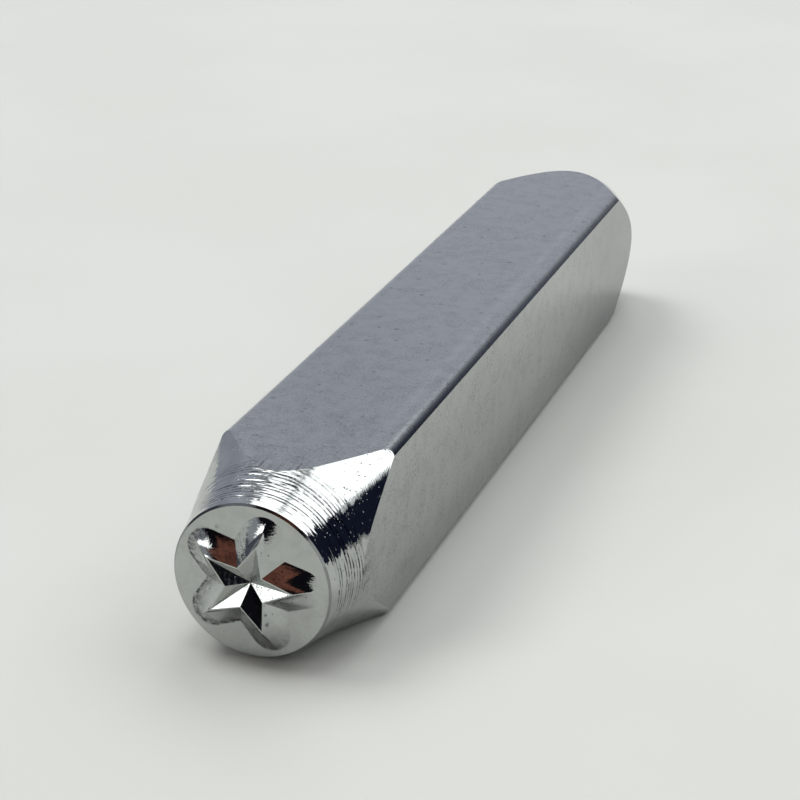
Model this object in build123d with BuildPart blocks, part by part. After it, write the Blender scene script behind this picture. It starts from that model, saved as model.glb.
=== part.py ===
from build123d import *
import math
import os

# Steel design punch: a square shank with a turned neck and star face at one end and a turned
# striking end at the other. It lies on one flat of its shank. All sizes are in millimetres.
# X is across the shank, Y runs along it from the star face to the striking end, Z is up.

# ---- Driving dimensions -------------------------------------------------------------------

# Whole punch
overall_length = 65.0      # star crest to striking face
shank_width = 10.0         # across the flats
shank_edge_radius = 0.5    # round along the four long edges

# Turned neck and stamping face
neck_offset_x = -0.22      # neck axis from the shank's axis: it is turned a little off centre
neck_offset_z = -0.23
face_inset = 0.44          # half the shank's width less the radius of the round face
face_bevel = 0.12          # small bevel round the face's rim
neck_length = 7.1          # face to where the neck runs out on the long edges
neck_hollow = 0.24         # how far the neck's flank dips inside a straight cone

# Turned striking end
strike_inset = 0.5         # half the shank's width less the radius of the striking face
strike_bevel = 0.3         # bevel round the striking face's rim
strike_taper_length = 6.3  # striking face to where the taper runs out on the long edges

# Raised star
star_points = 5
star_turn = 2.5            # degrees, from +X to the nearest point of the star, towards +Z
star_height = 0.8          # crest above the face
star_margin = 0.48         # plain border between the star's foot and the rim of the face
star_tip_spread = 1.36     # how far the flank spreads outwards from crest to foot at a point
star_notch_spread = 1.28   # the same at a notch between two points
star_foot_round = 1.15     # round on each point of the foot
star_crest_round = 0.03    # round on each point of the crest
star_notch_share = 0.455   # notch radius as a share of the point radius, on the crest
star_land = 0.03           # width of the flat left along the crest
star_bowl_floor = 0.04     # lowest point of the carved bowl above the face

# ---- Derived sizes ------------------------------------------------------------------------

half_width = shank_width / 2
edge_reach = math.hypot(half_width, half_width - shank_edge_radius)
blank_radius = edge_reach + 2.0

crest_y = -overall_length / 2
face_y = crest_y + star_height
strike_y = overall_length / 2

neck_z = half_width + neck_offset_z
face_radius = half_width - face_inset
strike_radius = half_width - strike_inset

foot_tip_radius = face_radius - star_margin
crest_tip_radius = foot_tip_radius - star_tip_spread
crest_notch_radius = crest_tip_radius * star_notch_share
foot_notch_radius = crest_notch_radius + star_notch_spread

point_angle = 360 / star_points


# ---- Planes and outlines ------------------------------------------------------------------

def cross_plane(x, y, z):
    """Plane across the punch: local x is +X, local y is +Z, and its normal is -Y."""
    return Plane(origin=(x, y, z), x_dir=(1, 0, 0), z_dir=(0, -1, 0))


def turning_plane(x, z):
    """Plane through a turning axis: local x runs along +Y and local y is the radius."""
    return Plane(origin=(x, 0, z), x_dir=(0, 1, 0), z_dir=(1, 0, 0))


def turning_axis(x, z):
    """Axis along +Y through x and z."""
    return Axis((x, 0, z), (0, 1, 0))


def polar(radius, angle):
    """Point at a radius and an angle in degrees."""
    return Vector(radius, 0).rotate(Axis.Z, angle)


def star_outline(tip_radius, notch_radius, tip_round):
    """Closed star of straight flanks that run tangent onto a round at each point."""
    centre = Vector(tip_radius - tip_round, 0)
    notch = polar(notch_radius, point_angle / 2)
    to_notch = notch - centre
    swing = math.degrees(math.acos(tip_round / to_notch.length))
    tangent_angle = math.degrees(math.atan2(to_notch.Y, to_notch.X)) - swing
    tangent = centre + polar(tip_round, tangent_angle)
    mirrored = Vector(tangent.X, -tangent.Y)
    for index in range(star_points):
        turn = star_turn + index * point_angle
        start = mirrored.rotate(Axis.Z, turn)
        end = tangent.rotate(Axis.Z, turn)
        valley = notch.rotate(Axis.Z, turn)
        next_start = mirrored.rotate(Axis.Z, turn + point_angle)
        ThreePointArc(start, polar(tip_radius, turn), end)
        Line(end, valley)
        Line(valley, next_start)


# ---- Punch --------------------------------------------------------------------------------

with BuildPart() as star_punch:
    # Square shank with rounded long edges
    with BuildSketch(cross_plane(0, face_y, half_width)):
        RectangleRounded(shank_width, shank_width, shank_edge_radius)
    extrude(amount=face_y - strike_y)

    # Face rim and hollow neck, turned about the neck's axis and flaring clear of the shank
    with BuildSketch(turning_plane(neck_offset_x, neck_z)):
        with BuildLine():
            rim = Polyline(
                (face_y, 0),
                (face_y, face_radius - face_bevel),
                (face_y + face_bevel, face_radius),
            )
            neck = SagittaArc(rim @ 1, (face_y + neck_length, edge_reach), -neck_hollow)
            flare = Line(neck @ 1, neck @ 1 + (neck % 1) * (blank_radius / (neck % 1).Y))
            Polyline(flare @ 1, (strike_y, (flare @ 1).Y), (strike_y, 0), (face_y, 0))
        make_face()
    revolve(axis=turning_axis(neck_offset_x, neck_z), mode=Mode.INTERSECT)

    # Striking taper and rim, turned about the shank's axis
    taper_slope = (edge_reach - strike_radius) / (strike_taper_length - strike_bevel)
    taper_run_out = (blank_radius - edge_reach) / taper_slope
    with BuildSketch(turning_plane(0, half_width)):
        Polygon(
            (face_y, 0),
            (face_y, blank_radius),
            (strike_y - strike_taper_length - taper_run_out, blank_radius),
            (strike_y - strike_bevel, strike_radius),
            (strike_y, strike_radius - strike_bevel),
            (strike_y, 0),
            align=None,
        )
    revolve(axis=turning_axis(0, half_width), mode=Mode.INTERSECT)

    # Raised star: flanks slope from a wide rounded foot up to a sharp crest
    with BuildSketch(cross_plane(neck_offset_x, face_y, neck_z)):
        with BuildLine():
            star_outline(foot_tip_radius, foot_notch_radius, star_foot_round)
        make_face()
    with BuildSketch(cross_plane(neck_offset_x, crest_y, neck_z)) as crest:
        with BuildLine():
            star_outline(crest_tip_radius, crest_notch_radius, star_crest_round)
        make_face()
    loft(ruled=True)

    # Bowl: ten facets fall from the crest to one point above the middle of the face
    with BuildSketch(cross_plane(neck_offset_x, crest_y, neck_z)) as bowl_mouth:
        add(crest.sketch_local)
        offset(amount=-star_land, kind=Kind.INTERSECTION, mode=Mode.REPLACE)
    bowl_bottom = Vertex(neck_offset_x, face_y - star_bowl_floor, neck_z)
    loft(sections=[bowl_mouth.sketch.face(), bowl_bottom], ruled=True, mode=Mode.SUBTRACT)

star_punch.part.label = "star_punch"

os.makedirs("parts", exist_ok=True)
export_step(star_punch.part, "parts/star_punch.step")
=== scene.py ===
import math

import bpy
import numpy as np
from mathutils import Matrix, Vector


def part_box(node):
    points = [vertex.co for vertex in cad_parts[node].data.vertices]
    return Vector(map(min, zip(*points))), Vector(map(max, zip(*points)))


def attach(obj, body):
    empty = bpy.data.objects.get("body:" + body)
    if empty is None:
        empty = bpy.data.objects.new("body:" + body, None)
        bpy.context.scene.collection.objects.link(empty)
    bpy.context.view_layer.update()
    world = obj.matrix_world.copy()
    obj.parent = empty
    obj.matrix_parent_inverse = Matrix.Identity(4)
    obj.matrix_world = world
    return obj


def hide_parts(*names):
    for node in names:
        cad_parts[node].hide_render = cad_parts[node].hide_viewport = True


# A plated steel design punch lying on a pale table. Lengths are in millimetres until the mesh is
# made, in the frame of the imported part: X across, Y along the punch, Z up, star face towards -Y.

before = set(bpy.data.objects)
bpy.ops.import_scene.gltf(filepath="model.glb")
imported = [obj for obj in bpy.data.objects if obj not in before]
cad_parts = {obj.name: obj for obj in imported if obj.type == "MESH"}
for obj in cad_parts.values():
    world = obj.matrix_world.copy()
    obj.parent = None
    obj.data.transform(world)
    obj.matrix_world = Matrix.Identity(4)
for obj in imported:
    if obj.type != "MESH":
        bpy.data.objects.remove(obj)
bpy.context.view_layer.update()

MM = 0.001
TURN = 2 * math.pi

# ---- Sizes --------------------------------------------------------------------------------

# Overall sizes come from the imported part, and the rest repeat its design
low, high = (np.array(corner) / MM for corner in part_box("star_punch"))
shank_width = high[0] - low[0]
half_width = shank_width / 2
shank_axis = np.array([(low[0] + high[0]) / 2, low[2] + half_width])
shank_edge_radius = 0.5

# The top and bottom roll off at their edges, down to a crisp line on each side flat
edge_roll = 0.68
edge_roll_radius = 0.757

neck_axis = shank_axis + np.array([-0.22, -0.23])
face_radius = half_width - 0.44
face_bevel = 0.12
neck_length = 7.1
neck_hollow = 0.24

strike_radius = half_width - 0.5
strike_bevel = 0.3
strike_taper_length = 6.3

# The star has a crest outline on top and a wider foot outline on the face
star_points = 5
star_turn = math.radians(2.5)
star_height = 0.8
foot_tip_radius = face_radius - 0.48
crest_tip_radius = foot_tip_radius - 1.36
crest_notch_radius = crest_tip_radius * 0.455
foot_notch_radius = crest_notch_radius + 1.28
foot_round = 1.15
crest_round = 0.03
flank_hollow = 0.3

# A narrow land runs inside the crest, round the carved middle
star_land = 0.06
land_tip_inset = 2.5 * star_land
land_notch_inset = 1.2 * star_land
land_round = 0.001
star_bowl_floor = 0.04

# Painted shade in the star's bowl, in the corner at its foot and along the neck's cuts, as a share of full
# cover
star_painted_shade = 0.75
face_painted_shade_share = 0.4
painted_shade_strip = 0.05
unshaded_strip = 0.12

# Tool marks. A pitch is the spacing of lines along the punch, and arc_cells how often they break
# on the way round. A width is the share of the pitch that a line takes up.
groove_depth = 0.016
fine_groove_depth = 0.003
wave_height = 0.004
neck_grooves = dict(pitch=0.16, arc_cells=16, seed=31)
neck_fine_grooves = dict(pitch=0.12, arc_cells=44, seed=47, width=0.5)
taper_grooves = dict(pitch=0.25, arc_cells=18, seed=83)
taper_fine_grooves = dict(pitch=0.13, arc_cells=30, seed=97, width=0.5)
taper_mark_share = 0.3
cut_depth = 0.009
cut_pitch = 0.225
cut_width = 0.6
# Strength of the painted shade along the neck's cuts
cut_painted_shade = 1.3

# Resolution of the mesh
ring_points = 360
edge_points = 13
bowl_rings = 8
flank_rings = 18
face_rings = 6
bevel_rings = 3
neck_rings = 340
shank_rings = 40
taper_rings = 160
strike_rings = 12
crease_angle = math.radians(12)

crest_y = low[1]
face_y = crest_y + star_height
strike_y = high[1]
length = strike_y - face_y
edge_reach = math.hypot(half_width, half_width - shank_edge_radius)


# ---- Radii about the neck axis --------------------------------------------------------------

def nearest_turn(angle, others):
    """Smallest turn between an angle and any of the others."""
    return min(abs((angle - other + math.pi) % TURN - math.pi) for other in others)


def edge_height(across):
    """Height of the top over the shank's axis at a distance across, rolled off at the edges."""
    into = np.minimum(np.maximum(np.abs(across) - (half_width - edge_roll), 0), edge_roll)
    return half_width - (edge_roll_radius - np.sqrt(edge_roll_radius ** 2 - into ** 2))


def ring_angles():
    """Angles of the points in every ring, from +X towards +Z, with the star's corners exact."""
    step = TURN / ring_points
    gap = step * 0.45
    exact = [(star_turn + k * math.pi / star_points) % TURN for k in range(2 * star_points)]
    corners = []
    for side_x in (-1, 1):
        for side_z in (-1, 1):
            for share in np.linspace(0, 1, edge_points):
                across = half_width - edge_roll * (1 - share)
                point = np.array([side_x * across, side_z * edge_height(across)])
                point = shank_axis - neck_axis + point
                corners.append(math.atan2(point[1], point[0]) % TURN)
            side = shank_axis - neck_axis + half_width * np.array([side_x, side_z])
            corners.append(math.atan2(side[1], side[0]) % TURN)
    chosen = list(exact)
    for angle in sorted(corners):
        if nearest_turn(angle, exact) > gap / 4:
            chosen.append(angle)
    for angle in np.arange(0, TURN - step / 2, step):
        if nearest_turn(angle, chosen) > gap:
            chosen.append(angle)
    return np.array(sorted(chosen))


def star_radius(angles, tip_radius, notch_radius, tip_round):
    """Radius of a star outline whose straight flanks run tangent onto a round at each point."""
    sector = math.pi / star_points
    off = np.abs((angles - star_turn + sector) % (2 * sector) - sector)
    centre = tip_radius - tip_round
    notch = notch_radius * np.array([math.cos(sector), math.sin(sector)])
    to_notch = notch - np.array([centre, 0])
    swing = math.acos(tip_round / np.linalg.norm(to_notch))
    tangent_angle = math.atan2(to_notch[1], to_notch[0]) - swing
    tangent = tip_round * np.array([math.cos(tangent_angle), math.sin(tangent_angle)])
    tangent = tangent + np.array([centre, 0])
    flank = tangent[0] * notch[1] - tangent[1] * notch[0]
    slope = (notch[1] - tangent[1]) * np.cos(off) - (notch[0] - tangent[0]) * np.sin(off)
    straight = flank / slope
    inside = np.maximum(tip_round ** 2 - (centre * np.sin(off)) ** 2, 0)
    rounded = centre * np.cos(off) + np.sqrt(inside)
    return np.where(off < math.atan2(tangent[1], tangent[0]), rounded, straight)


def shank_radius(angles):
    """Distance from the neck axis to the shank's outline, found by halving."""
    start = neck_axis - shank_axis
    way = np.stack([np.cos(angles), np.sin(angles)])
    near = np.zeros(len(angles))
    far = np.full(len(angles), 2 * half_width)
    for _ in range(50):
        middle = (near + far) / 2
        point = start[:, None] + way * middle
        inside = (np.abs(point[0]) < half_width) & (np.abs(point[1]) < edge_height(point[0]))
        near = np.where(inside, middle, near)
        far = np.where(inside, far, middle)
    return near


def turned_radius(angles, radius):
    """Distance from the neck axis to a circle about the shank's axis."""
    start = neck_axis - shank_axis
    along = -(start[0] * np.cos(angles) + start[1] * np.sin(angles))
    return along + np.sqrt(radius ** 2 - start @ start + along ** 2)


# ---- Neck profile -----------------------------------------------------------------------------

# The neck is one hollow arc from the bevel of the face to where it clears the shank's corners, in
# coordinates of distance behind the face and radius. Past its end it goes on straight.
neck_start = np.array([face_bevel, face_radius])
neck_end = np.array([neck_length, edge_reach])
neck_chord = neck_end - neck_start
neck_span = np.linalg.norm(neck_chord)
neck_arc_radius = (neck_span ** 2 / 4 + neck_hollow ** 2) / (2 * neck_hollow)
neck_normal = np.array([-neck_chord[1], neck_chord[0]]) / neck_span
neck_centre = (neck_start + neck_end) / 2 + neck_normal * (neck_arc_radius - neck_hollow)
neck_end_slope = (neck_end[0] - neck_centre[0]) / (neck_centre[1] - neck_end[1])


def neck_radius(distance):
    """Radius of the turned neck at a distance behind the face."""
    across = np.clip(distance - neck_centre[0], -neck_arc_radius, neck_arc_radius)
    arc = neck_centre[1] - np.sqrt(neck_arc_radius ** 2 - across ** 2)
    flare = edge_reach + (distance - neck_length) * neck_end_slope
    return np.where(distance < neck_length, arc, flare)


def neck_distance(radius):
    """Distance behind the face at which the neck has a radius."""
    down = np.clip(neck_centre[1] - radius, 0, neck_arc_radius)
    way = math.copysign(1, neck_end[0] - neck_centre[0])
    arc = neck_centre[0] + way * np.sqrt(neck_arc_radius ** 2 - down ** 2)
    flare = neck_length + (radius - edge_reach) / neck_end_slope
    return np.where(radius < edge_reach, arc, flare)


# ---- Rings of the punch -----------------------------------------------------------------------

angles = ring_angles()
count = len(angles)
outward = np.stack([np.cos(angles), np.zeros(count), np.sin(angles)], axis=1)
shank = shank_radius(angles)

# Each row is a ring of points, its zone, which picks the material, and its painted shade
STAR, FACE, RIM, NECK, SHANK, TAPER, STRIKE = range(7)
rows = []


def shares(steps):
    """Even shares of the way from 0, left out, to 1."""
    return np.linspace(0, 1, steps + 1)[1:]


def add_row(distance, radius, zone, painted_shade=0):
    """Adds a ring at a distance behind the face and a radius about the neck axis."""
    x = neck_axis[0] + radius * np.cos(angles)
    z = neck_axis[1] + radius * np.sin(angles)
    y = face_y + np.broadcast_to(distance, x.shape)
    rows.append((np.stack([x, y, z], axis=1), zone, painted_shade))


def add_rows(zone, start, end, radius_at, steps):
    """Adds rings between two distances that may differ round the punch."""
    for share in shares(steps):
        distance = start + (end - start) * share
        add_row(distance, radius_at(distance), zone)


crest = star_radius(angles, crest_tip_radius, crest_notch_radius, crest_round)
land = star_radius(angles, crest_tip_radius - land_tip_inset, crest_notch_radius - land_notch_inset,
                   land_round)
foot = star_radius(angles, foot_tip_radius, foot_notch_radius, foot_round)

# Painted shade lies deepest in the corner at the star's foot, away from the punch's right shoulder
shaded_side = np.clip(0.5 - 0.8 * np.cos(angles - math.radians(20)), 0, 1)

# Painted shade darkens the floor of the star's bowl
for share in shares(bowl_rings):
    height = star_bowl_floor + (star_height - star_bowl_floor) * share
    add_row(-height, land * share, STAR, star_painted_shade * max(0, 1 - 3 * share))
add_row(-star_height, crest, STAR)
for share in shares(flank_rings):
    height = star_height * (1 - share) * (1 - flank_hollow * share)
    add_row(-height, crest + (foot - crest) * share, STAR, star_painted_shade * shaded_side * share ** 2.3)

rim = face_radius - face_bevel
unshaded = foot + unshaded_strip
# A thin strip of painted shade on the face round the star's foot, then a strip without it
add_row(0, foot + painted_shade_strip, FACE, star_painted_shade * shaded_side * face_painted_shade_share)
add_row(0, unshaded, FACE)
for share in shares(face_rings):
    add_row(0, unshaded + (rim - unshaded) * share, FACE)
for share in shares(bevel_rings):
    add_row(face_bevel * share, rim + face_bevel * share, RIM)

neck_top = neck_distance(shank)
add_rows(NECK, face_bevel, neck_top, neck_radius, neck_rings)

# The striking end is turned about the shank's axis, and cuts each flat in a curve
taper_slope = (edge_reach - strike_radius) / (strike_taper_length - strike_bevel)
from_shank_axis = (neck_axis - shank_axis)[:, None] + shank * np.stack([np.cos(angles), np.sin(angles)])
taper_top = length - strike_bevel - (np.hypot(*from_shank_axis) - strike_radius) / taper_slope
add_rows(SHANK, neck_top, taper_top, lambda distance: shank, shank_rings)


def taper_radius(distance):
    """Distance from the neck axis to the striking taper."""
    return turned_radius(angles, strike_radius + (length - strike_bevel - distance) * taper_slope)


add_rows(TAPER, taper_top, length - strike_bevel, taper_radius, taper_rings)
for share in shares(bevel_rings):
    add_row(length - strike_bevel * (1 - share),
            turned_radius(angles, strike_radius - strike_bevel * share), STRIKE)
strike_rim = turned_radius(angles, strike_radius - strike_bevel)
for share in np.linspace(1, 0, strike_rings + 1)[1:-1]:
    add_row(length, strike_rim * share, STRIKE)


# ---- Tool marks -------------------------------------------------------------------------------

def ease(share):
    """Smooth step from 0 to 1."""
    return share * share * (3 - 2 * share)


def ramp(value, start, end):
    """0 up to start and 1 from end on, and even between them."""
    return np.clip((value - start) / (end - start), 0, 1)


def smooth_noise(along, around, seed):
    """Smooth noise from -1 to 1 on a lattice of unit cells."""
    cells = int(round(around.max())) + 1
    knots = np.random.default_rng(seed).uniform(-1, 1, (int(along.max()) + 3, cells))
    row = np.floor(along).astype(int)
    column = np.floor(around).astype(int)
    after = (column + 1) % cells
    column = column % cells
    down = ease(along - row)
    across = ease(around - np.floor(around))
    upper = knots[row, column] * (1 - across) + knots[row, after] * across
    lower = knots[row + 1, column] * (1 - across) + knots[row + 1, after] * across
    return upper * (1 - down) + lower * down


def turning_marks(distance, pitch, arc_cells, seed, width=0.4):
    """Narrow hollows between 0 and -1 that run round the punch, broken into arcs."""
    around = angles / TURN * arc_cells
    drift = smooth_noise(distance / (pitch * 4), around, seed + 1)
    marks = smooth_noise(distance / pitch + 0.8 * (drift + 1), around, seed)
    depth = np.clip(0.6 + 0.9 * smooth_noise(distance / (pitch * 2), around, seed + 2), 0, 1)
    return -depth * (1 - ease(np.minimum(np.abs(marks) / width, 1)))


def cut_lines(distance):
    """Thin long cuts round the front of the neck, from 0 to -1, deepest on its upper right."""
    bend = 0.45 * smooth_noise(distance / 0.9, angles / TURN * 9, 61)
    phase = 1 + distance / cut_pitch + bend
    number = np.floor(phase)
    aside = np.minimum(np.abs(phase - number - 0.5) * 2 / cut_width, 1)
    present = np.clip(0.7 + 1.3 * smooth_noise(number, angles / TURN * 15, 67), 0, 1)
    window = ramp(distance, 0.5, 0.9) * ramp(distance, 4.2, 3.0)
    facing = np.clip(0.4 + np.cos(angles - math.radians(62)), 0.05, 1)
    return -(1 - ease(aside)) * present * window * facing


def neck_relief(distance):
    """Height of the tool marks on the neck, which fade where it meets the shank."""
    coarse = turning_marks(distance, **neck_grooves)
    fine = turning_marks(distance, **neck_fine_grooves)
    wave = smooth_noise(distance / 0.5, angles / TURN * 60, 59)
    strength = np.clip(1.7 - distance / 2.8, 0.12, 1) * ramp(distance, face_bevel, face_bevel + 0.5)
    return (groove_depth * coarse * strength + cut_depth * cut_lines(distance)
            + fine_groove_depth * fine + wave_height * wave)


def taper_relief(distance):
    """Height of the tool marks on the striking taper."""
    behind = length - distance
    coarse = turning_marks(behind, **taper_grooves)
    fine = turning_marks(behind, **taper_fine_grooves)
    return (groove_depth * coarse + fine_groove_depth * fine) * taper_mark_share


# ---- Punch mesh -------------------------------------------------------------------------------

def build_mesh(name):
    """Joins the rings into one closed mesh, with a middle point at each end."""
    first = np.array([[neck_axis[0], face_y - star_bowl_floor, neck_axis[1]]])
    last = np.array([[neck_axis[0], strike_y, neck_axis[1]]])
    points = np.concatenate([first] + [row for row, _, _ in rows] + [last])
    index = 1 + np.arange(len(rows) * count).reshape(len(rows), count)
    after = np.roll(index, -1, axis=1)
    end = len(points) - 1
    quads = np.stack([index[:-1], index[1:], after[1:], after[:-1]], axis=-1).reshape(-1, 4)
    faces = [[0, a, b] for a, b in zip(index[0], after[0])]
    faces += quads.tolist()
    faces += [[end, b, a] for a, b in zip(index[-1], after[-1])]
    mesh = bpy.data.meshes.new(name)
    mesh.from_pydata((points * MM).tolist(), [], faces)
    zones = [zone for _, zone, _ in rows]
    mesh.polygons.foreach_set("material_index", np.repeat(zones + [zones[-1]], count).tolist())
    mesh.polygons.foreach_set("use_smooth", [True] * len(faces))
    mesh.update()
    mesh.set_sharp_from_angle(angle=crease_angle)
    # The tool marks come after the creases are found, so that they stay smooth
    # Painted shade for each point, passed to the materials in a mesh attribute
    painted_shade = [np.zeros(1) + rows[0][2]]
    for number, (row, zone, amount) in enumerate(rows):
        distance = row[:, 1] - face_y
        if zone == NECK:
            points[index[number]] += outward * neck_relief(distance)[:, None]
            # Painted shade along the neck's cuts, standing in for their dark reflections
            amount = -cut_painted_shade * cut_lines(distance)
        elif zone == TAPER:
            points[index[number]] += outward * taper_relief(distance)[:, None]
        painted_shade.append(np.broadcast_to(amount, count))
    painted_shade = np.concatenate(painted_shade + [np.zeros(1)]).astype(np.float32)
    mesh.attributes.new("painted_shade", "FLOAT", "POINT").data.foreach_set("value", painted_shade)
    mesh.vertices.foreach_set("co", (points * MM).ravel())
    mesh.update()
    mesh.validate()
    obj = bpy.data.objects.new(name, mesh)
    bpy.context.scene.collection.objects.link(obj)
    return obj


# ---- Shader helpers ---------------------------------------------------------------------------

def put(tree, socket, value):
    """Sets a socket to a value, or links another node's output to it."""
    if isinstance(value, bpy.types.NodeSocket):
        tree.links.new(value, socket)
    else:
        socket.default_value = value


def math_node(tree, operation, *inputs):
    """Adds a math node and returns its output."""
    node = tree.nodes.new("ShaderNodeMath")
    node.operation = operation
    for socket, value in zip(node.inputs, inputs):
        put(tree, socket, value)
    return node.outputs[0]


def product(tree, first, *others):
    """Product of several values."""
    for other in others:
        first = math_node(tree, "MULTIPLY", first, other)
    return first


def mix_colour(tree, share, first, second):
    """Mixes two colours and returns the output."""
    node = tree.nodes.new("ShaderNodeMix")
    node.data_type = "RGBA"
    for number, value in ((0, share), (6, first), (7, second)):
        put(tree, node.inputs[number], value)
    return node.outputs[2]


def smooth_step(tree, value, start, end):
    """0 up to start and 1 from end on, whichever of them is the higher."""
    node = tree.nodes.new("ShaderNodeMapRange")
    node.interpolation_type = "SMOOTHSTEP"
    put(tree, node.inputs[0], value)
    put(tree, node.inputs[1], min(start, end))
    put(tree, node.inputs[2], max(start, end))
    put(tree, node.inputs[3], 0 if start < end else 1)
    put(tree, node.inputs[4], 1 if start < end else 0)
    return node.outputs[0]


def parts_of(tree, vector):
    """The three parts of a vector."""
    node = tree.nodes.new("ShaderNodeSeparateXYZ")
    put(tree, node.inputs[0], vector)
    return node.outputs


def vector_of(tree, *parts):
    """A vector from its parts."""
    node = tree.nodes.new("ShaderNodeCombineXYZ")
    for socket, value in zip(node.inputs, parts):
        put(tree, socket, value)
    return node.outputs[0]


def vector_node(tree, operation, *inputs):
    """Adds a vector math node and returns it."""
    node = tree.nodes.new("ShaderNodeVectorMath")
    node.operation = operation
    for socket, value in zip(node.inputs, inputs):
        put(tree, socket, value)
    return node


def place_in_mm(tree):
    """Position on the object, in millimetres."""
    node = vector_node(tree, "SCALE", tree.nodes.new("ShaderNodeTexCoord").outputs["Object"])
    node.inputs["Scale"].default_value = 1 / MM
    return node.outputs[0]


def stretched(tree, place, scale):
    """Position scaled differently along each axis."""
    return vector_node(tree, "MULTIPLY", place, scale).outputs[0]


def noise(tree, place, scale, detail=2.0, roughness=0.5):
    """Noise from 0 to 1 with a scale in cells per unit of the position."""
    node = tree.nodes.new("ShaderNodeTexNoise")
    put(tree, node.inputs["Vector"], place)
    node.inputs["Scale"].default_value = scale
    node.inputs["Detail"].default_value = detail
    node.inputs["Roughness"].default_value = roughness
    return node.outputs[0]


def pits(tree, place, scale, share, size):
    """1 in the middle of small round pits that lie in a share of the cells, and 0 elsewhere."""
    node = tree.nodes.new("ShaderNodeTexVoronoi")
    put(tree, node.inputs["Vector"], place)
    node.inputs["Scale"].default_value = scale
    chance = tree.nodes.new("ShaderNodeSeparateColor")
    put(tree, chance.inputs[0], node.outputs["Color"])
    chosen = math_node(tree, "LESS_THAN", chance.outputs[0], share)
    reach = math_node(tree, "MULTIPLY", chance.outputs[1], size)
    depth = math_node(tree, "SUBTRACT", 1.0, math_node(tree, "DIVIDE", node.outputs["Distance"], reach))
    return math_node(tree, "MULTIPLY", chosen, math_node(tree, "MAXIMUM", depth, 0.0))


def ring_place(tree, place, around, along):
    """Position for marks that run round the neck axis."""
    across, length_way, above = parts_of(tree, place)
    x = math_node(tree, "SUBTRACT", across, float(neck_axis[0]))
    z = math_node(tree, "SUBTRACT", above, float(neck_axis[1]))
    squares = math_node(tree, "ADD", product(tree, x, x), product(tree, z, z))
    reach = math_node(tree, "SQRT", squares)
    return vector_of(tree, product(tree, math_node(tree, "DIVIDE", x, reach), around),
                     product(tree, math_node(tree, "DIVIDE", z, reach), around),
                     product(tree, length_way, along))


# ---- Plated metal -----------------------------------------------------------------------------

plate_colour = (0.47, 0.49, 0.478)
# The dark colour on the next line darkens pits, stains and flecks, and also paints the shade on the
# shank's sides
pit_and_shade_colour = (0.16, 0.165, 0.17, 1)
# Colour of the painted shade in the star's corners and along the neck's cuts
painted_shade_colour = (0.04, 0.042, 0.046, 1)
# Colour of the painted highlight line along the top of the shank
painted_highlight_colour = (0.85, 0.88, 0.87, 1)


def shaded(colour, share):
    """A colour made darker, with its alpha."""
    return (*(share * part for part in colour), 1)


def plated(name, reliefs_at, roughness, pit_scale=2.2, pit_share=0.1, pit_depth=0.002, tone=1.0,
           stain=0.12, wear_and_shade=None):
    """Bright plating with its own fine relief, pits, stains, painted shade and uneven gloss.

    roughness is the lowest and highest, pit_scale is in cells per millimetre, tone is the
    brightness, and stain is how dark the patches of fine specks are. reliefs_at gives heights and
    their depths in millimetres, and the last argument adds wear and painted shade to the colour.
    """
    material = bpy.data.materials.new("plated_" + name)
    material.use_nodes = True
    tree = material.node_tree
    shader = tree.nodes["Principled BSDF"]
    shader.inputs["Metallic"].default_value = 1
    place = place_in_mm(tree)

    pit = pits(tree, place, pit_scale, pit_share, 0.42)
    small_pit = pits(tree, place, pit_scale * 2.7, pit_share * 1.8, 0.42)
    hollow = math_node(tree, "MAXIMUM", pit, small_pit)

    blotch = smooth_step(tree, noise(tree, place, 0.9, 3.0, 0.6), 0.42, 0.68)
    colour = mix_colour(tree, blotch, shaded(plate_colour, tone), shaded(plate_colour, 0.9 * tone))
    patchy = smooth_step(tree, noise(tree, place, 0.45, 2.0), 0.42, 0.62)
    speck = smooth_step(tree, noise(tree, place, 6.5, 3.0, 0.6), 0.53, 0.67)
    colour = mix_colour(tree, product(tree, patchy, speck, stain), colour, pit_and_shade_colour)
    in_pit = product(tree, smooth_step(tree, hollow, 0.0, 0.5), 0.85)
    colour = mix_colour(tree, in_pit, colour, pit_and_shade_colour)
    # Painted shade from the mesh attribute, made uneven by noise
    painted_shade = tree.nodes.new("ShaderNodeAttribute")
    painted_shade.attribute_name = "painted_shade"
    uneven = smooth_step(tree, noise(tree, place, 3.5, 3.0, 0.6), 0.36, 0.6)
    cover = product(tree, painted_shade.outputs["Fac"], math_node(tree, "ADD", 0.35, uneven))
    colour = mix_colour(tree, cover, colour, painted_shade_colour)
    if wear_and_shade:
        colour = wear_and_shade(tree, place, colour)
    put(tree, shader.inputs["Base Color"], colour)

    haze = tree.nodes.new("ShaderNodeMapRange")
    haze_from = (0.3, 0.7)
    for socket, value in zip(haze.inputs, (noise(tree, place, 2.3, 4.0, 0.65), *haze_from, *roughness)):
        put(tree, socket, value)
    gloss = math_node(tree, "ADD", haze.outputs[0], product(tree, hollow, 0.25))
    put(tree, shader.inputs["Roughness"], gloss)

    normal = None
    for height, depth in [(math_node(tree, "SUBTRACT", 1.0, hollow), pit_depth)] + reliefs_at(tree, place):
        bump = tree.nodes.new("ShaderNodeBump")
        bump.inputs["Strength"].default_value = 1
        bump.inputs["Distance"].default_value = depth * MM
        put(tree, bump.inputs["Height"], height)
        if normal is not None:
            put(tree, bump.inputs["Normal"], normal)
        normal = bump.outputs["Normal"]
    put(tree, shader.inputs["Normal"], normal)
    return material


def star_relief(tree, place):
    """Hobbed impression: uneven plating with short tool scratches."""
    return [(noise(tree, place, 4.5, 3.0, 0.6), 0.009),
            (noise(tree, stretched(tree, place, (3.0, 3.0, 14.0)), 1.0), 0.0038)]


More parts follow.
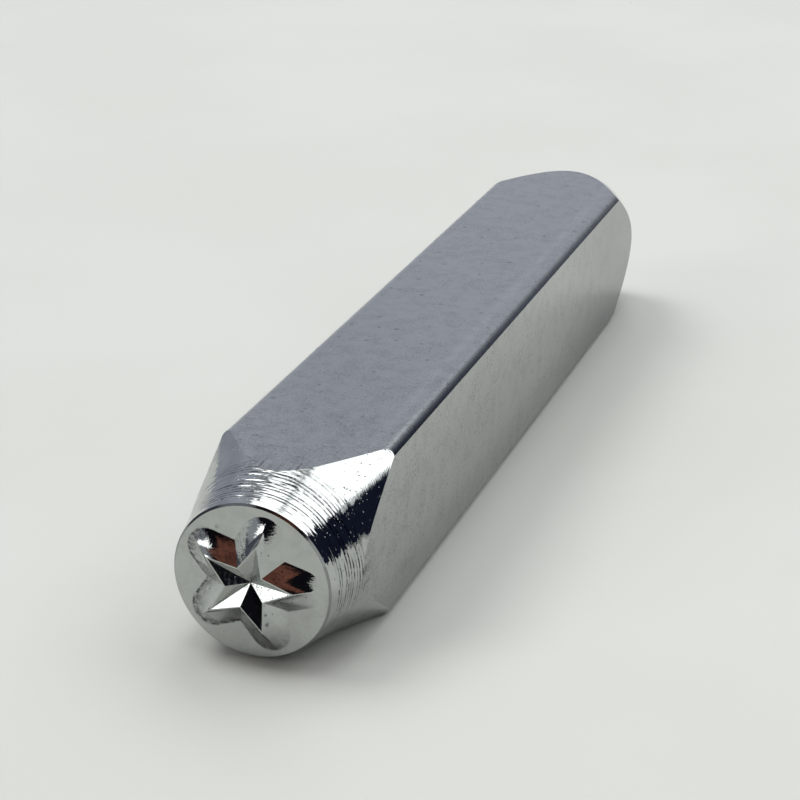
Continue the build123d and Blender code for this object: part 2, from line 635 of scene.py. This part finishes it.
def face_relief(tree, place):
    """Milled flat with fine lines across it."""
    return [(noise(tree, stretched(tree, place, (0.5, 1.0, 11.0)), 1.0), 0.0010),
            (noise(tree, place, 1.6), 0.0015)]


def neck_fine_relief(tree, place):
    """Turned cone with hair lines between the tool marks."""
    return [(noise(tree, ring_place(tree, place, 9.0, 15.0), 1.0), 0.0012),
            (noise(tree, place, 5.0), 0.0018)]


def shank_relief(tree, place):
    """Drawn bar: soft ripples, fine grain, and faint lines across the sides."""
    return [(noise(tree, place, 1.3), 0.0014),
            (noise(tree, place, 8.0, 3.0, 0.6), 0.0018),
            (noise(tree, stretched(tree, place, (1.0, 5.0, 0.35)), 1.0), 0.0012)]


def strike_relief(tree, place):
    """Faced end with rings about the shank's axis."""
    middle = (float(shank_axis[0]), float(strike_y), float(shank_axis[1]))
    reach = vector_node(tree, "DISTANCE", place, middle).outputs["Value"]
    rings = vector_of(tree, product(tree, reach, 9.0))
    return [(noise(tree, rings, 1.0), 0.0022), (noise(tree, place, 3.0, 3.0), 0.002)]


def wear_and_side_shade(tree, place, colour):
    """Wear of the shank and painted light on it: flecks and creases near the neck, a painted highlight
    line by the edge, painted shade on the sides.
    """
    across, along, above = parts_of(tree, place)

    # Painted highlight line along the top, inside its right edge
    highlight_line = product(tree, smooth_step(tree, across, 3.1, 3.6), smooth_step(tree, across, 4.1, 3.7),
                   noise(tree, stretched(tree, place, (3.0, 0.6, 1.0)), 1.0, 3.0), 0.16)
    colour = mix_colour(tree, highlight_line, colour, painted_highlight_colour)

    # Short flecks in loose groups on the half next to the neck
    fleck = smooth_step(tree, noise(tree, stretched(tree, place, (9.0, 5.0, 9.0)), 1.0), 0.57, 0.65)
    group = smooth_step(tree, noise(tree, place, 0.6), 0.40, 0.60)
    near_half = smooth_step(tree, along, 2.0, -14.0)
    colour = mix_colour(tree, product(tree, fleck, group, near_half, 0.45), colour, pit_and_shade_colour)

    # Thin creases where the noise passes its middle, close to the neck
    off_middle = math_node(tree, "SUBTRACT", noise(tree, place, 2.3), 0.5)
    crease = smooth_step(tree, math_node(tree, "ABSOLUTE", off_middle), 0.035, 0.0)
    by_neck = smooth_step(tree, along, -17.0, -24.0)
    broken = smooth_step(tree, noise(tree, place, 1.1), 0.45, 0.6)
    colour = mix_colour(tree, product(tree, crease, by_neck, broken, 0.5), colour, pit_and_shade_colour)

    # Painted shade on the sides, growing towards the striking end and towards the table
    side = smooth_step(tree, math_node(tree, "ABSOLUTE", across), half_width - 0.08, half_width - 0.02)
    painted_side_shade = math_node(tree, "ADD", product(tree, smooth_step(tree, along, 4.0, 26.0), 0.55),
                     product(tree, smooth_step(tree, above, 4.5, 0.5), 0.38))
    return mix_colour(tree, product(tree, side, painted_side_shade), colour, pit_and_shade_colour)


punch = build_mesh("punch_body")
# In the order of the zones
punch_materials = [
    plated("star", star_relief, (0.03, 0.07), pit_share=0.08, pit_depth=0.004),
    plated("face", face_relief, (0.09, 0.14), pit_scale=1.4, pit_share=0.05),
    plated("rim", neck_fine_relief, (0.08, 0.14), tone=0.55),
    plated("neck", neck_fine_relief, (0.03, 0.07), pit_scale=2.8, pit_share=0.12, pit_depth=0.014),
    plated("shank", shank_relief, (0.10, 0.17), pit_scale=1.7, pit_share=0.16, pit_depth=0.0015,
           tone=0.92, stain=0.7, wear_and_shade=wear_and_side_shade),
    plated("taper", neck_fine_relief, (0.09, 0.15), tone=0.84),
    plated("strike", strike_relief, (0.14, 0.22)),
]
for material in punch_materials:
    punch.data.materials.append(material)
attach(punch, "root")
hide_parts("star_punch")

# ---- Table ------------------------------------------------------------------------------------

table_size = 3


def pale_table():
    """Matt off-white board with painted shade towards the front, faint clouding and a few specks."""
    paint = bpy.data.materials.new("pale_table")
    paint.use_nodes = True
    tree = paint.node_tree
    shader = tree.nodes["Principled BSDF"]
    place = place_in_mm(tree)
    along = parts_of(tree, place)[1]
    cloud = smooth_step(tree, noise(tree, place, 0.03, 4.0), 0.35, 0.65)
    colour = mix_colour(tree, cloud, (0.612, 0.624, 0.581, 1), (0.634, 0.646, 0.607, 1))
    # Painted shade, darker towards the front of the board
    front_shade = product(tree, smooth_step(tree, along, -20, -75), 0.06)
    colour = mix_colour(tree, front_shade, colour, (0.3, 0.3, 0.28, 1))
    speck = smooth_step(tree, pits(tree, place, 0.09, 0.16, 0.05), 0.1, 0.4)
    colour = mix_colour(tree, speck, colour, (0.12, 0.10, 0.09, 1))
    put(tree, shader.inputs["Base Color"], colour)
    shader.inputs["Roughness"].default_value = 0.6
    return paint


bpy.ops.mesh.primitive_plane_add(size=table_size, location=(0, 0, low[2] * MM))
table = bpy.context.object
table.name = "table"
table.data.materials.append(pale_table())

# ---- Light ------------------------------------------------------------------------------------

# The bright metal shows the room round it, so the world is a soft grey studio with soft boxes and
# dark flags. Each patch has its lowest and highest azimuth and the softness of those edges, its
# lowest and highest elevation and their softness, in degrees, its colour, and its contrast: how
# far it darkens in cloudy spots, from 0 to 1. Azimuth 0 is +Y, 90 is +X. Later patches lie in
# front of earlier ones.
room_colour = (0.40, 0.42, 0.46)
room_patches = [
    ("ceiling", (-180, 180, 1), (77, 91, 4), (4.0, 4.04, 4.1), 0),
    ("far_wall", (-66, 8, 10), (-30, 42, 6), (0.52, 0.54, 0.625), 0.1),
    ("left_shade", (-72, -37, 5), (-30, 26, 6), (0.40, 0.42, 0.49), 0.1),
    ("left_box", (-104, -54, 4), (44, 68, 4), (6.5, 6.5, 6.4), 0),
    ("ridge_shade", (17, 60, 11), (-30, 32, 4), (0.09, 0.10, 0.14), 0),
    ("dark_flag_right", (28, 88, 3), (-30, 31.5, 1.5), (0.012, 0.016, 0.034), 0.3),
    ("dark_flag_over", (83, 208, 2), (30, 78, 3), (0.02, 0.016, 0.018), 0.3),
    ("dark_flag_top", (-40, 110, 6), (66, 78, 2), (0.05, 0.055, 0.07), 0.3),
    ("right_fill", (90, 136, 4), (-5, 29, 4), (0.9, 0.92, 0.93), 0),
    ("big_box", (-31, 82, 2), (33, 66, 1.5), (2.5, 2.53, 2.56), 0),
    ("box_frame", (8, 18, 3), (53, 66, 3), (0.75, 0.76, 0.82), 0.2),
    ("dark_flag_left", (-117, -88, 3), (-30, 34, 3), (0.12, 0.13, 0.16), 0.5),
    ("dark_flag_front", (136, 212, 2), (-30, 66, 3), (0.008, 0.008, 0.011), 0.3),
    ("front_box", (-147, -120, 1.5), (15, 31, 1.5), (3.2, 3.2, 3.15), 0),
    ("front_box_top", (-143, -121, 1.5), (27, 35, 1.5), (3.2, 3.2, 3.15), 0),
    ("warm_flag", (140, 214, 2), (31.5, 57, 1.5), (0.24, 0.095, 0.07), 1.0),
]
most_darkened = 0.85
cloud_scale = 16


def within(tree, value, lowest, highest, soft):
    """1 between two angles, falling to 0 over a soft edge round each."""
    from_middle = math_node(tree, "SUBTRACT", value, (lowest + highest) / 2)
    from_middle = math_node(tree, "ABSOLUTE", math_node(tree, "WRAP", from_middle, 180, -180))
    half = (highest - lowest) / 2
    return smooth_step(tree, from_middle, half + soft, half - soft)


def make_room():
    """World of soft patches on a plain room."""
    world = bpy.data.worlds.new("room")
    bpy.context.scene.world = world
    world.use_nodes = True
    tree = world.node_tree
    direction = tree.nodes.new("ShaderNodeTexCoord").outputs["Generated"]
    x, y, z = parts_of(tree, direction)
    turn = math_node(tree, "DEGREES", math_node(tree, "ARCTAN2", x, y))
    rise = math_node(tree, "DEGREES", math_node(tree, "ARCSINE", z))
    cloud = smooth_step(tree, noise(tree, direction, cloud_scale, 3.0), 0.36, 0.56)
    colour = (*room_colour, 1)
    for _, azimuths, elevations, patch, contrast in room_patches:
        mask = product(tree, within(tree, turn, *azimuths), within(tree, rise, *elevations))
        if contrast:
            dark = shaded(patch, 1 - most_darkened * contrast)
            patch = mix_colour(tree, cloud, dark, (*patch, 1))
        else:
            patch = (*patch, 1)
        colour = mix_colour(tree, mask, colour, patch)
    put(tree, tree.nodes["Background"].inputs["Color"], colour)


make_room()

# ---- Camera -----------------------------------------------------------------------------------

# The camera looks down along the punch, from its right. Its place is in millimetres.
camera_place = (39.94, -120.47, 56.43)
camera_azimuth = math.radians(19.71)
camera_elevation = math.radians(22.94)
camera_roll = math.radians(-0.28)

camera_data = bpy.data.cameras.new("camera")
camera_data.sensor_width = 36
camera_data.lens = 92.75
camera_data.clip_start = 0.001
camera_data.clip_end = 10
camera = bpy.data.objects.new("camera", camera_data)
bpy.context.scene.collection.objects.link(camera)
camera.location = Vector(camera_place) * MM
forward = Vector((-math.sin(camera_azimuth) * math.cos(camera_elevation),
                  math.cos(camera_azimuth) * math.cos(camera_elevation),
                  -math.sin(camera_elevation)))
camera.rotation_mode = "QUATERNION"
camera.rotation_quaternion = (forward.to_track_quat("-Z", "Y")
                              @ Matrix.Rotation(-camera_roll, 3, "Z").to_quaternion())
bpy.context.scene.camera = camera
bpy.context.scene.view_settings.view_transform = "Standard"
